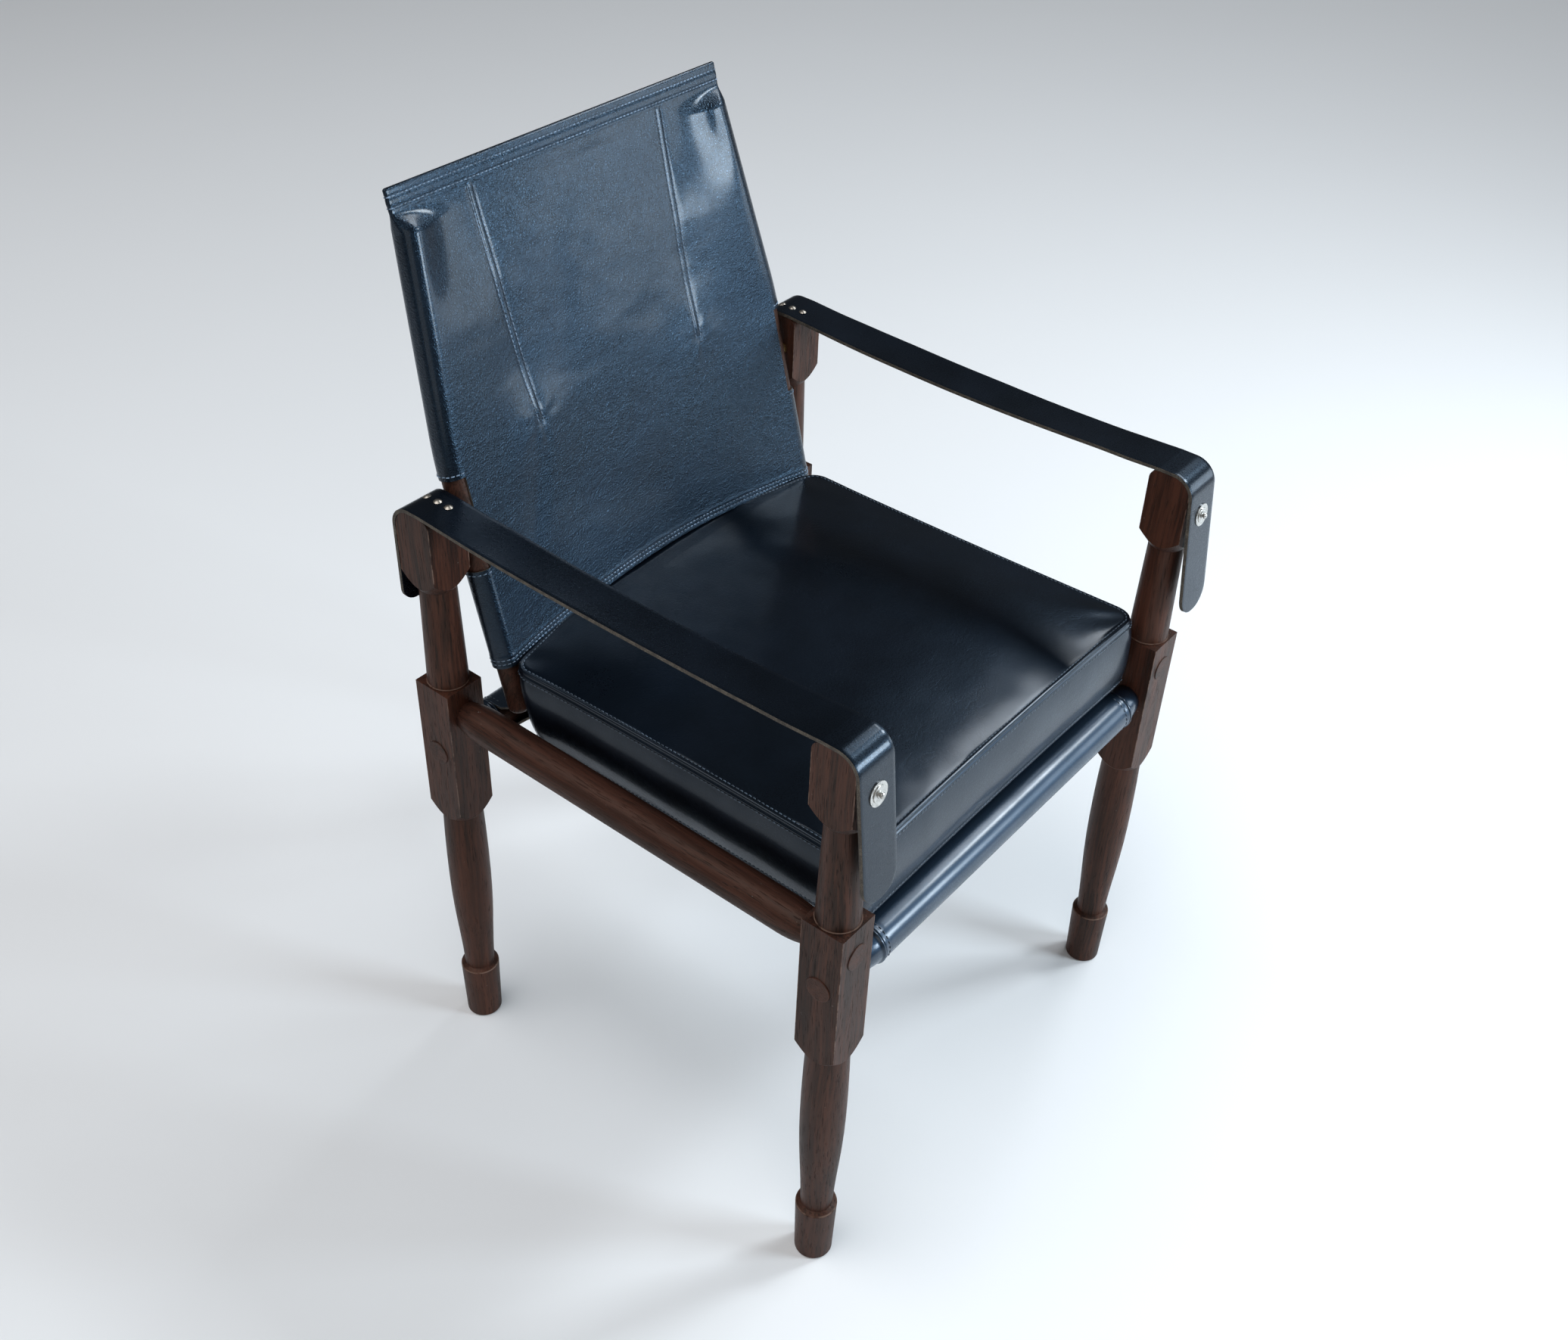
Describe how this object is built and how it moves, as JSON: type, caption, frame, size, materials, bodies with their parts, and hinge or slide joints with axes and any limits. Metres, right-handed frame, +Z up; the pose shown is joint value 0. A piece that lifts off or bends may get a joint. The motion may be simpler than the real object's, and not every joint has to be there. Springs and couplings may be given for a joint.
{
  "type": "campaign chair",
  "caption": "Knock-down safari armchair with turned wooden legs, round rails, a leather sling seat with a loose cushion, leather arm straps and a swivelling leather sleeve back.",
  "frame": {"origin": "on the floor, under the middle of the chair's overall box", "axes": "+Z up, -Y to the chair's front, +X to the right of someone who faces its front"},
  "size_m": [0.5504, 0.5804, 0.9164],
  "materials": {
    "turned_wood": "satin",
    "strap_leather": "gloss",
    "sleeve_leather": "gloss",
    "seat_leather": "gloss",
    "cushion": "gloss",
    "nickel": "polished",
    "steel": "brushed",
    "spacer": "satin"
  },
  "bodies": {
    "frame": {"leg_front_left": "turned_wood", "leg_front_right": "turned_wood", "leg_rear_left": "turned_wood", "leg_rear_right": "turned_wood", "side_rail_left": "turned_wood", "side_rail_right": "turned_wood", "front_rail": "turned_wood", "rear_rail": "turned_wood", "seat_sling": "seat_leather", "roll_cap_front_left": "seat_leather", "roll_cap_front_right": "seat_leather", "roll_cap_rear_left": "seat_leather", "roll_cap_rear_right": "seat_leather", "arm_strap_left": "strap_leather", "arm_strap_right": "strap_leather", "strap_stud_left": "nickel", "strap_stud_right": "nickel", "stud_washer_left": "nickel", "stud_washer_right": "nickel", "strap_pins": "nickel", "pivot_bolt_left": "steel", "pivot_bolt_right": "steel", "pivot_spacer_left": "spacer", "pivot_spacer_right": "spacer"},
    "back": {"back_stile_left": "turned_wood", "back_stile_right": "turned_wood", "back_sleeve": "sleeve_leather"},
    "cushion": {"seat_cushion": "cushion"}
  },
  "joints": [
    {"name": "back_swivel", "type": "hinge", "parent": "frame", "child": "back", "pos_m": [0, 0.20838, 0.625], "axis": [1, 0, 0], "range_deg": [-2, 110]},
    {"name": "cushion_draw", "type": "slide", "parent": "frame", "child": "cushion", "axis": [0, -0.9999, 0.0172], "range_m": [0, 0.12]}
  ]
}
